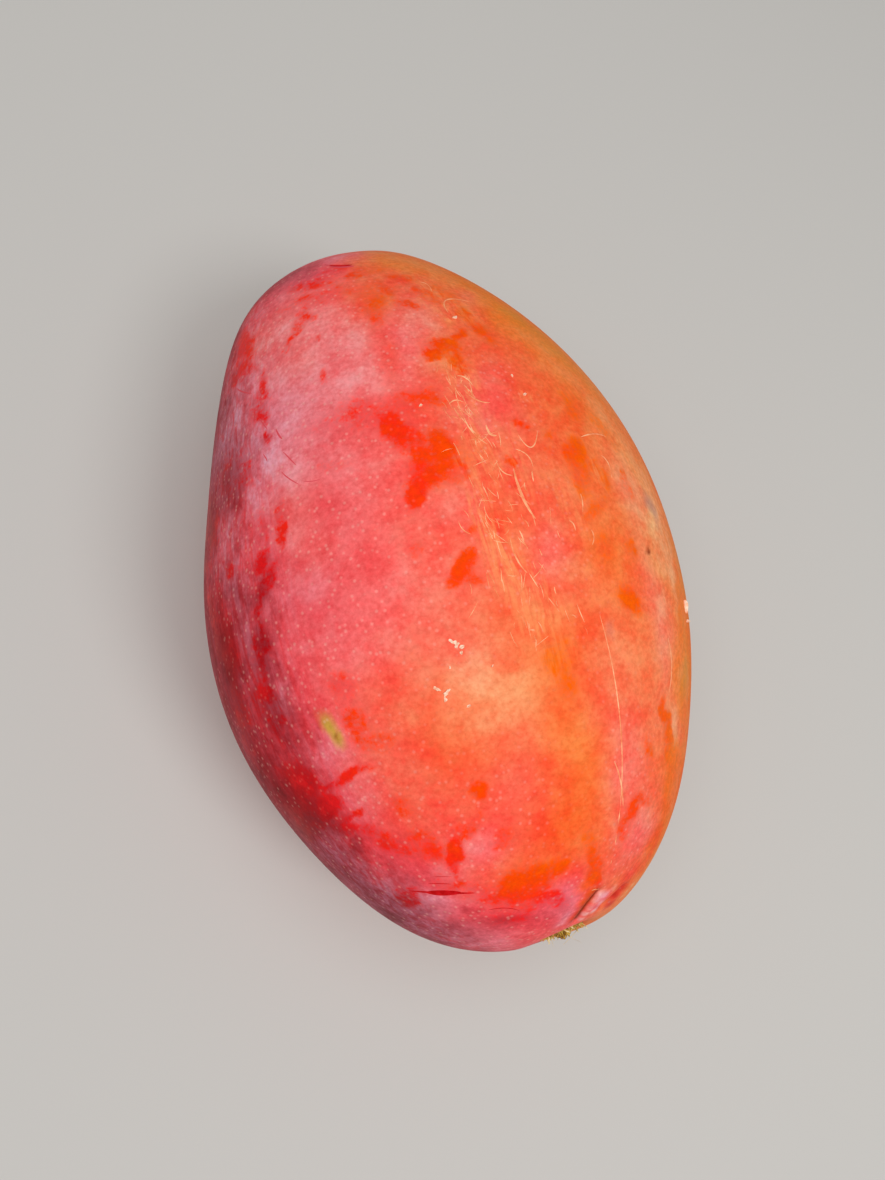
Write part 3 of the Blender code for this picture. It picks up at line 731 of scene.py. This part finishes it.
# Bloom, with its painted highlight and edge shade: the mask times the noises, in streaks on the wiped flanks,
# and nothing where the skin is bare
dust = masks["bloom"]
for noise, low, high, least, most in (
        (cloud, 0.36, 0.64, 0.7, 1.3), (grain, 0.25, 0.75, 0.85, 1.15), (ragged, 0.36, 0.64, 0.68, 1.32)):
    share = add_node(skin_tree, REMAP, {"From Min": low, "From Max": high, "To Min": least, "To Max": most},
                     {"Value": noise}).outputs["Result"]
    dust = add_node(skin_tree, MATH, MULTIPLY, {0: dust, 1: share}).outputs[0]
wiped = add_node(skin_tree, REMAP, {"From Min": 0.38, "From Max": 0.62, "To Min": 0.45, "To Max": 1.6},
                 {"Value": streak}).outputs["Result"]
wiped = add_node(skin_tree, MIX, {"data_type": "FLOAT", 2: 1.0}, {0: masks["wiped"], 3: wiped}).outputs[0]
dust = add_node(skin_tree, MATH, MULTIPLY, {0: dust, 1: wiped}).outputs[0]
kept = add_node(skin_tree, MATH, {"operation": "MULTIPLY_ADD", 1: -1.0, 2: 1.0}, {0: bare}).outputs[0]
dust = add_node(skin_tree, MATH, {"operation": "MULTIPLY", "use_clamp": True}, {0: dust, 1: kept}).outputs[0]
bloom_ramp = add_node(skin_tree, RAMP, {}, {"Fac": masks["warmth"]})
fill_ramp(bloom_ramp, [(0.08, "C0748A"), (0.26, "F2B6C8"), (0.40, "F8BCBC"),
                       (0.53, "F8C4A0"), (0.70, "F8C890"), (0.86, "F8C0A0")])
coloured = add_node(skin_tree, MIX, {"data_type": "RGBA"},
                    {MIX_FACTOR: dust, MIX_FROM: pigment_ramp.outputs["Color"],
                     MIX_TO: bloom_ramp.outputs["Color"]}).outputs[MIX_RESULT]
print("nodes for pigment and bloom:", len(skin_tree.nodes))

# %% [markdown]
# ### Marks over the bloom
#
# A bruise shows only faintly through the skin. Scuffs are pale streaks along the fruit. Pores are pale dots,
# about half a millimetre wide and a little over one millimetre apart, and they fade where the pigment is warm
# and where the skin is rubbed. Each mark is then mixed over the rest in its own colour.

# %% Marks and the shader's inputs
bruise = add_node(skin_tree, MATH, {"operation": "MULTIPLY", 1: 0.42}, {0: masks["bruised"]}).outputs[0]
streak_line = add_node(skin_tree, REMAP, {**SMOOTH, "From Min": 0.40, "From Max": 0.62},
                       {"Value": streak}).outputs["Result"]
scuff = add_node(skin_tree, MATH, MULTIPLY, {0: masks["scuffed"], 1: streak_line}).outputs[0]
scuff = add_node(skin_tree, MATH, {"operation": "MULTIPLY", 1: 0.55}, {0: scuff}).outputs[0]
pores = add_node(skin_tree, "ShaderNodeTexVoronoi", {"Scale": 1 / PORE_SPACING}, {"Vector": place})
pore_dot = add_node(skin_tree, REMAP, {**SMOOTH, "From Min": 0.32, "From Max": 0.06},
                    {"Value": pores.outputs["Distance"]}).outputs["Result"]
pore_strength = add_node(skin_tree, REMAP,
                         {"From Min": 0.40, "From Max": 0.60, "To Min": 0.28, "To Max": 0.03},
                         {"Value": masks["warmth"]}).outputs["Result"]
unrubbed = add_node(skin_tree, MATH, {"operation": "MULTIPLY_ADD", 1: -0.75, 2: 1.0}, {0: bare}).outputs[0]
for share in (pore_strength, unrubbed):
    pore_dot = add_node(skin_tree, MATH, MULTIPLY, {0: pore_dot, 1: share}).outputs[0]

# The olive scar, bruises, scuffs and pores, then painted shade in the crease, fold and pit, with the brown
# specks
for share, colour in ((masks["olive"], "D0A044"), (bruise, "8C7480"), (scuff, "FFA868"), (pore_dot, "FFC0B2"),
                      (masks["crease"], "8A2C0C")):
    coloured = add_node(skin_tree, MIX, {"data_type": "RGBA", MIX_TO: linear(colour)},
                        {MIX_FACTOR: share, MIX_FROM: coloured}).outputs[MIX_RESULT]

# Mottled grain over everything. Bare skin is a little glossier, and the grain raises it very slightly
mottle = add_node(skin_tree, REMAP, {"From Min": 0.32, "From Max": 0.68, "To Min": 0.87, "To Max": 1.07},
                  {"Value": grain}).outputs["Result"]
coloured = add_node(skin_tree, MIX, {"data_type": "RGBA", "blend_type": "MULTIPLY", MIX_FACTOR: 1.0},
                    {MIX_FROM: coloured, MIX_TO: mottle}).outputs[MIX_RESULT]
gloss = add_node(skin_tree, REMAP, {"To Min": 0.50, "To Max": 0.34}, {"Value": bare}).outputs["Result"]
relief = add_node(skin_tree, "ShaderNodeBump", {"Strength": 0.5, "Distance": 0.06 * MM},
                  {"Height": grain}).outputs["Normal"]
skin_tree.links.new(coloured, skin_shader.inputs["Base Color"])
skin_tree.links.new(gloss, skin_shader.inputs["Roughness"])
skin_tree.links.new(relief, skin_shader.inputs["Normal"])
skin_shader.inputs["Specular IOR Level"].default_value = DULL_SHINE
skin_shader.inputs["Specular Tint"].default_value = linear("FFA080")

fruit_skin = add_piece(skin_mesh, ripe_skin)
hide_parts("fruit")

# %% [markdown]
# ## Laying things on the skin
#
# Scratches, cracks and flakes lie on the skin. The formula can be turned round: a place seen from above gives
# its station along the fruit and its angle round the section, and so the direction that reaches it. A flat
# pattern drawn in plan is then laid on the fruit point by point, with a small lift.

# %% Plan to skin
RIDGE_STEPS = 14
RIDGE_SINK = 0.01 * MM


def lay_on_skin(x, y, lift):
    """Points of the skin under plan places x and y in millimetres, raised by lift in metres.

    The station is y over half the length. The cosine of the angle round the section is the sideways
    distance over the half width, with the roundness undone, and the sine is the rest of the unit circle.
    """
    station = (y * MM - AXIS[1]) / (LENGTH / 2)
    closing = np.sqrt(np.clip(1 - station ** 2, 1e-6, None))
    off_line = x * MM - AXIS[0] - closing * profile(SIDEWAYS_BEND, station)
    part = off_line / (closing * profile(HALF_WIDTH, station))
    cosine = np.sign(part) * np.clip(np.abs(part), 0, 0.999) ** (SECTION_ROUNDNESS / 2)
    sine = np.sqrt(1 - cosine ** 2)
    return skin(np.stack([closing * cosine, station, closing * sine], axis=-1), lift)


def ridges(rows, height):
    """Closed slivers along curves: each row has the start, middle and end in plan, then the width.

    The curve is the one parabola through the three points. The sliver's section is a diamond whose width
    follows the square root of a sine, so both ends are pointed.
    """
    rows = np.array(rows, dtype=float)
    share = np.linspace(0.02, 0.98, RIDGE_STEPS)[None, :, None]
    start, middle, end = rows[:, None, 0:2], rows[:, None, 2:4], rows[:, None, 4:6]
    line = start * (1 - share) * (1 - 2 * share) + 4 * middle * share * (1 - share)
    line = line + end * share * (2 * share - 1)
    run = np.gradient(line, axis=1)
    run /= np.linalg.norm(run, axis=-1)[..., None]
    aside = np.stack([-run[..., 1], run[..., 0]], axis=-1)
    half = (rows[:, None, 6] / 2 * np.sqrt(np.sin(math.pi * share[..., 0])))[..., None, None]
    corners = np.array([-1.0, 0.0, 1.0, 0.0])[None, None, :, None]
    plan = line[:, :, None] + aside[:, :, None] * half * corners
    taper = np.sin(math.pi * share[..., 0])[..., None]
    lift = np.array([0.0, 1.0, 0.0, -1.0])[None, None] * height * taper + RIDGE_SINK
    return lay_on_skin(plan[..., 0], plan[..., 1], lift * np.ones_like(plan[..., 0]))


# %% [markdown]
# ## Scratches and scuffs
#
# A branch or a crate scratches the young skin, and it heals into thin pale cork. The long lines are drawn one
# by one. The many short ones in the scuffed band are drawn at random along it, because nobody could tell one
# from another. Most run along the fruit, and one in four lies at any angle.

# %% Scratches
SCRATCHES = [
    (13.0, -16.4, 11.9, -36.0, 6.1, -58.5, 0.22), (6.1, 8.1, 5.9, 3.3, 6.9, -0.8, 0.48),
    (1.3, 18.4, 1.7, 15.3, 3.4, 12.6, 0.24), (4.3, 16.1, 4.4, 14.4, 5.4, 13.9, 0.45),
    (8.9, 13.6, 10.4, 11.0, 12.7, 13.9, 0.22), (20.5, 12.0, 23.8, 12.6, 26.5, 12.2, 0.28),
    (7.5, 11.1, 9.2, 9.7, 9.4, 7.6, 0.2), (9.0, 7.0, 8.8, 6.3, 8.6, 5.2, 0.25),
    (3.8, 9.9, 4.1, 7.8, 5.6, 6.8, 0.2), (1.9, -2.6, 1.9, -5.9, 3.0, -8.6, 0.25),
    (-5.0, 1.5, -4.7, 0.1, -3.7, -0.9, 0.15), (23.4, 8.6, 24.4, 7.0, 23.9, 4.4, 0.22),
    (16.2, 2.2, 16.0, 0.6, 15.3, -1.0, 0.22), (12.4, -1.9, 13.0, -2.5, 13.0, -3.7, 0.2),
    (15.9, -3.8, 16.0, -5.1, 15.2, -6.3, 0.2), (3.0, 22.9, 4.4, 20.7, 6.5, 19.8, 0.22),
    (-0.3, 20.7, 1.0, 21.3, 2.2, 20.6, 0.2), (2.8, 25.7, 4.1, 25.1, 4.7, 23.4, 0.25),
    (6.5, 39.0, 7.6, 42.5, 12.5, 41.7, 0.25), (4.8, 47.9, 5.9, 46.9, 5.8, 44.9, 0.2),
    (9.8, -38.6, 10.5, -42.0, 10.4, -46.0, 0.25), (26.2, -22.5, 25.9, -27.0, 23.9, -31.3, 0.25),
    (3.9, -57.6, 4.8, -57.7, 5.9, -58.6, 0.2),
]
SCRATCH_HEIGHT, SHORT_HEIGHT = 0.035 * MM, 0.03 * MM
SHORT_SCRATCHES = 150
BAND_START, BAND_END = -19, 28
BAND_MIDDLE, BAND_WIDTH, BAND_FLARE = 1.2, 1.2, 0.06

draw = np.random.default_rng(5)
band_y = draw.uniform(BAND_START, BAND_END, SHORT_SCRATCHES)
band_spread = BAND_WIDTH + BAND_FLARE * (BAND_END - band_y)
band_x = BAND_MIDDLE + BAND_FLARE * np.abs(band_y - 2) + draw.normal(0, 1, SHORT_SCRATCHES) * band_spread
reach = draw.uniform(0.4, 1.6, SHORT_SCRATCHES)
lean = draw.normal(0.08, 0.22, SHORT_SCRATCHES)
cast = draw.random(SHORT_SCRATCHES) < 0.25
lean = np.where(cast, draw.uniform(-1.5, 1.5, SHORT_SCRATCHES), lean)
curl = draw.normal(0, 0.12, SHORT_SCRATCHES)
run_x, run_y = reach * np.sin(lean), reach * np.cos(lean)
short_rows = np.stack([
    band_x - run_x, band_y + run_y, band_x + curl * np.cos(lean), band_y + curl * np.sin(lean),
    band_x + run_x, band_y - run_y, draw.uniform(0.07, 0.16, SHORT_SCRATCHES)], axis=1)
scratch_rings = np.concatenate([ridges(SCRATCHES, SCRATCH_HEIGHT), ridges(short_rows, SHORT_HEIGHT)])

# Dry cork is dull and patchy, which makes a scratch a broken light line and not a painted one
dry_cork, *_ = mottled_material(
    "dry healed scratch cork", 0.7, 1.6 * MM, 4, [(0.35, "F07C48"), (0.65, "FFBC8C")])
add_piece(closed_shapes("healed_scratches", scratch_rings, smooth=False), dry_cork)

# %% [markdown]
# ## Cracks in the skin
#
# Near the tip and on the shoulders the skin has split in short slits and closed again. The newer ones show
# as dark red lines, thin at both ends, and their darkness is partly painted shade of a slit. The old ones
# have healed under the bloom, and are only a little redder than the dust round them. Both are slivers like
# the scratches, but much flatter.

# %% Cracks
CRACKS = [
    (-21.2, -49.8, -18.9, -50.5, -16.4, -51.1, 0.85), (-23.6, -49.0, -19.0, -50.45, -14.4, -51.7, 0.34),
    (-20.8, -48.5, -19.2, -48.9, -17.6, -49.4, 0.12), (-20.0, -47.6, -18.8, -47.9, -17.4, -48.3, 0.08),
    (-13.0, -55.0, -10.4, -55.4, -8.2, -56.6, 0.12), (-8.6, 56.5, -7.1, 55.3, -4.8, 55.0, 0.75),
]
FAINT_SPLITS = [
    (-9.0, 57.2, -8.7, 56.5, -8.1, 55.9, 0.30), (-8.6, 56.2, -7.0, 54.9, -4.6, 54.5, 0.60),
    (-27.6, 29.8, -27.4, 28.4, -27.1, 27.0, 0.20), (-25.9, 26.2, -25.8, 24.8, -25.5, 23.8, 0.26),
    (-26.0, 21.6, -25.4, 19.9, -24.8, 18.2, 0.17), (-27.1, 18.4, -26.4, 16.7, -25.2, 14.9, 0.18),
    (-29.1, 39.0, -28.5, 37.1, -27.4, 35.4, 0.22), (-28.8, 23.0, -28.6, 22.0, -28.6, 21.4, 0.16),
    (-24.8, 15.4, -23.4, 14.6, -22.0, 14.4, 0.14),
]
SPLIT_HEIGHT, FAINT_HEIGHT = 0.006 * MM, 0.004 * MM

# A closed split is dark red and has no shine, and its darkness is partly painted shade, so it looks like a
# slit in the skin
split_with_painted_shade, split_shader, *_ = mottled_material(
    "closed skin split with painted slit shade", 0.6, 1.2 * MM, 3, [(0.35, "BC0408"), (0.65, "DC141C")])
split_shader.inputs["Specular IOR Level"].default_value = DULL_SHINE
add_piece(closed_shapes("skin_splits", ridges(CRACKS, SPLIT_HEIGHT), smooth=False), split_with_painted_shade)

# A healed one has the red of the skin, paled by the bloom over it
healed_split, healed_shader, _ = new_material("healed skin split under bloom", 0.6)
healed_shader.inputs["Base Color"].default_value = linear("E4505A")
healed_shader.inputs["Specular IOR Level"].default_value = DULL_SHINE
add_piece(closed_shapes("faint_splits", ridges(FAINT_SPLITS, FAINT_HEIGHT), smooth=False), healed_split)

# %% [markdown]
# ## Flakes of dry skin
#
# In a few places the outermost skin has come loose in pale flakes, like old varnish. Each is a low mound with
# a ragged outline, drawn as rings from its middle to its rim and back underneath. The two on the right side
# stand up higher, so that they catch the light at the edge of the fruit.

# %% Flakes
FLAKES = [
    (-10.3, -16.0, 0.55, 0.38, 60), (-9.6, -16.6, 0.42, 0.26, 10), (-10.9, -15.4, 0.40, 0.25, 120),
    (-9.9, -17.4, 0.30, 0.20, 90), (-13.3, -22.3, 0.55, 0.34, 40), (-13.7, -23.2, 0.40, 0.20, 95),
    (-14.5, -21.4, 0.50, 0.28, 140), (-10.7, -25.0, 0.40, 0.16, 10), (-6.0, -20.4, 0.25, 0.12, 30),
    (-12.0, -19.0, 0.22, 0.12, 70), (13.0, 20.6, 0.40, 0.22, 20), (12.2, 24.4, 0.30, 0.20, 80),
    (-4.6, 21.6, 0.35, 0.2, 30), (7.2, 37.9, 0.5, 0.3, 40),
]
EDGE_FLAKES = [(34.3, -18.0, 1.1, 0.20, 84), (33.9, -20.4, 0.30, 0.20, 60)]
EDGE_RISE = 2.6
FLAKE_POINTS = 15
FLAKE_LIFTS = np.array([0.10, 0.13, 0.08, -0.05, -0.05]) * MM
FLAKE_REACH = np.array([0.30, 0.80, 1.00, 0.95, 0.30])


def flakes(rows, seed, rise=1.0):
    """Rings of mounds, raised by rise: each row has the middle in plan, the half axes and the angle.

    The outline's radius is 1 plus three sine waves in seeded phases, so no two flakes are alike.
    """
    rows = np.array(rows, dtype=float)
    draw = np.random.default_rng(seed)
    turn = 2 * math.pi * np.arange(FLAKE_POINTS) / FLAKE_POINTS
    outline = np.ones((len(rows), FLAKE_POINTS))
    for count in (2, 3, 5):
        depth = draw.uniform(0.05, 0.26, (len(rows), 1))
        outline += depth * np.sin(count * turn + draw.uniform(0, 6, (len(rows), 1)))
    reach = FLAKE_REACH[None, :, None] * outline[:, None]
    along = rows[:, None, None, 2] * reach * np.cos(turn)
    aside = rows[:, None, None, 3] * reach * np.sin(turn)
    angle = np.radians(rows[:, 4])[:, None, None]
    x = rows[:, None, None, 0] + along * np.cos(angle) - aside * np.sin(angle)
    y = rows[:, None, None, 1] + along * np.sin(angle) + aside * np.cos(angle)
    curl = 1 + 0.8 * np.sin(turn + draw.uniform(0, 6, (len(rows), 1)))
    raised = rise * np.clip(FLAKE_LIFTS, 0, None)[None, :, None] * curl[:, None]
    return lay_on_skin(x, y, raised + np.clip(FLAKE_LIFTS, None, 0)[None, :, None])


# Loose skin is dry and scatters the light, so it looks cream on the red
loose_skin, *_ = mottled_material(
    "loose dry skin flake", 0.65, 0.7 * MM, 3, [(0.35, "F0A47C"), (0.62, "FFDCC2")])
flake_rings = np.concatenate([flakes(FLAKES, 9), flakes(EDGE_FLAKES, 3, EDGE_RISE)])
add_piece(closed_shapes("skin_flakes", flake_rings, smooth=False), loose_skin)

# %% [markdown]
# ## The stalk's scar
#
# The stalk broke off and left a disc of torn cork, brown where it is old and straw yellow where fibres are
# fresh. It is a stack of rings again: the underside follows the floor of the pit, the top is higher by the
# cork's thickness, and waves of several lengths tear it into lumps and teeth.

# %% Scar of the stalk
SCAR_RADIUS = 4.1 * MM
SKIN_PER_RADIAN = 48 * MM
SCAR_RINGS = 40
SCAR_SPOKES = 120
SCAR_HEIGHT = 1.5 * MM
SCAR_GAP = 0.05 * MM
SCAR_EDGE = ((3, 0.10, 1), (5, 0.07, 0), (11, 0.05, 0), (23, 0.04, 0))
TEAR_WAVES = ((5, 2), (9, 3), (13, 5), (21, 4), (29, 8))


def tear(reach, spoke, seed):
    """Sum of waves round the disc and across it in seeded phases, about -1 to 1."""
    draw = np.random.default_rng(seed)
    total = np.zeros_like(reach)
    for waves_round, waves_across in TEAR_WAVES:
        ripple = np.sin(waves_round * spoke + draw.uniform(0, 6))
        total += ripple * np.sin(waves_across * 3 * reach + draw.uniform(0, 6))
    return total / 2.2


half_turn = math.pi * (np.arange(SCAR_RINGS) + 0.5) / SCAR_RINGS
scar_turn = 2 * math.pi * np.arange(SCAR_SPOKES) / SCAR_SPOKES
scar_polar, scar_spoke = np.meshgrid(half_turn, scar_turn, indexing="ij")
scar_reach = np.sin(scar_polar)
scar_edge = np.ones_like(scar_spoke)
for waves_round, depth, start in SCAR_EDGE:
    scar_edge += depth * np.sin(waves_round * scar_spoke + start)
scar_floor = skin(about_pit(scar_reach * SCAR_RADIUS * scar_edge / SKIN_PER_RADIAN, scar_spoke))
scar_top = np.clip(np.cos(scar_polar), 0, None) ** 0.6
scar_torn = 1 + 0.55 * tear(scar_reach, scar_spoke, 4)
scar_lift = SCAR_GAP + scar_top * SCAR_HEIGHT * scar_torn * (0.72 + 0.42 * np.cos(3.6 * scar_reach))
scar_mesh = closed_shapes("stem_scar_torn", (scar_floor + scar_lift[..., None] * PIT)[None])

# Torn cork is brown in its hollows, straw yellow where it broke last, and rough enough to have no shine
torn_cork, scar_shader, scar_tree, scar_noise = mottled_material(
    "torn stalk cork", 0.85, 1.1 * MM, 5,
    [(0.30, "5A3210"), (0.44, "96641A"), (0.56, "C8982C"), (0.70, "F0DC86")], unevenness=0.65)
scar_relief = add_node(scar_tree, "ShaderNodeBump", {"Strength": 0.8, "Distance": 0.2 * MM},
                       {"Height": scar_noise})
scar_tree.links.new(scar_relief.outputs["Normal"], scar_shader.inputs["Normal"])
stem_scar = add_piece(scar_mesh, torn_cork)
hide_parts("stem_scar")

# %% [markdown]
# ## Torn fibres
#
# Short stiff fibres stand round the scar's rim, and a few long ones curl away from it, bleached nearly white.
# Each is a tapering tube: a small circle carried along a parabola. Curves with bevels would do it too, but
# the tubes are made of the same rings as everything else, so one function closes them.

# %% Fibres round the scar
FIBRE_STEPS = 9
FIBRE_SIDES = 6


def tubes(starts, runs, curls, radii):
    """Rings of tapering tubes along start plus share times run plus share squared times curl.

    The ring's plane is square to the path, and its radius falls with the root of what is left of the path.
    """
    share = np.linspace(0, 0.97, FIBRE_STEPS)[None, :, None]
    path = starts[:, None] + share * runs[:, None] + share ** 2 * curls[:, None]
    ahead = runs[:, None] + 2 * share * curls[:, None]
    ahead /= np.linalg.norm(ahead, axis=-1)[..., None]
    side = np.cross(ahead, [0.3, 0.2, 0.93])
    side /= np.linalg.norm(side, axis=-1)[..., None]
    top = np.cross(side, ahead)
    turn = 2 * math.pi * np.arange(FIBRE_SIDES) / FIBRE_SIDES
    radius = radii[:, None, None, None] * np.sqrt(1 - share)[..., None]
    ring = np.cos(turn)[:, None] * side[:, :, None] + np.sin(turn)[:, None] * top[:, :, None]
    return path[:, :, None] + radius * ring


def scar_fibres(count, lengths, radii, spread, bow, seed):
    """Fibres that start on the scar, lean outwards by spread and bow aside, in seeded lengths and radii."""
    draw = np.random.default_rng(seed)
    spoke = draw.uniform(0, 2 * math.pi, count)
    reach = draw.uniform(0.35, 1.0, count) * SCAR_RADIUS / SKIN_PER_RADIAN
    starts = skin(about_pit(reach, spoke)) + 0.35 * MM * PIT
    outwards = about_pit(np.full(count, math.pi / 2), spoke)
    heading = PIT + spread * outwards * draw.uniform(0.2, 1.2, (count, 1))
    heading = heading + 0.35 * draw.normal(size=(count, 3))
    heading /= np.linalg.norm(heading, axis=1)[:, None]
    length = draw.uniform(*lengths, (count, 1)) * MM
    curls = bow * length * np.cross(heading, draw.normal(size=(count, 3)))
    return tubes(starts, heading * length, curls, draw.uniform(*radii, count) * MM)


fibre_rings = np.concatenate([
    scar_fibres(110, (0.6, 1.4), (0.09, 0.18), 0.7, 0.35, 12),
    scar_fibres(14, (0.8, 1.4), (0.04, 0.06), 0.9, 1.8, 8),
])

# Bleached fibre runs from straw to cream, which lets single fibres stand out from the brown cork
straw, *_ = mottled_material(
    "bleached stalk fibre", 0.75, 2.0 * MM, 3, [(0.36, "9A7424"), (0.50, "DCBC5C"), (0.64, "F2E4B4")])
add_piece(closed_shapes("stem_fibres", fibre_rings), straw)

# %% [markdown]
# ## The floor and the light
#
# One large soft lamp stands nearly overhead, where the photograph's broad highlight shows it, and a small
# weaker one towards the stalk end. The rest of the room is dim, so the sides of the fruit fall off in tone as
# they do there.

# %% Floor, lamps and sky
HALF_FLOOR = 1.5
LAMP_AIM = Vector((0, 0, 40 * MM))

floor_mesh = bpy.data.meshes.new("floor")
floor_mesh.from_pydata([(x * HALF_FLOOR, y * HALF_FLOOR, 0) for x, y in ((-1, -1), (1, -1), (1, 1), (-1, 1))],
                       [], [(0, 1, 2, 3)])
floor = bpy.data.objects.new("floor", floor_mesh)
bpy.context.scene.collection.objects.link(floor)

# A matt neutral floor adds light from below but no colour
floor_finish, floor_shader, _ = new_material("matt pale floor", 0.9)
floor_shader.inputs["Base Color"].default_value = linear("C6C4C0")
floor_mesh.materials.append(floor_finish)


def add_lamp(name, direction, distance, size, energy):
    """A round soft lamp that stands off the fruit's middle in this direction and faces it."""
    data = bpy.data.lights.new(name, "AREA")
    data.shape = "DISK"
    data.size = size
    data.energy = energy
    lamp = bpy.data.objects.new(name, data)
    lamp.location = LAMP_AIM + Vector(direction).normalized() * distance
    lamp.rotation_euler = Vector(direction).to_track_quat("Z", "Y").to_euler()
    bpy.context.scene.collection.objects.link(lamp)
    print(name, "stands at", [round(value, 2) for value in lamp.location])


add_lamp("overhead softbox", (-0.16, -0.06, 0.98), 0.90, 0.95, 4.8)
add_lamp("window lamp", (0.20, -0.46, 0.87), 0.75, 0.26, 1.7)

sky = bpy.data.worlds.new("dim room")
sky.use_nodes = True
sky.node_tree.nodes["Background"].inputs["Color"].default_value = linear("F4F2F0")
sky.node_tree.nodes["Background"].inputs["Strength"].default_value = 0.34
bpy.context.scene.world = sky
bpy.context.scene.view_settings.view_transform = "Standard"
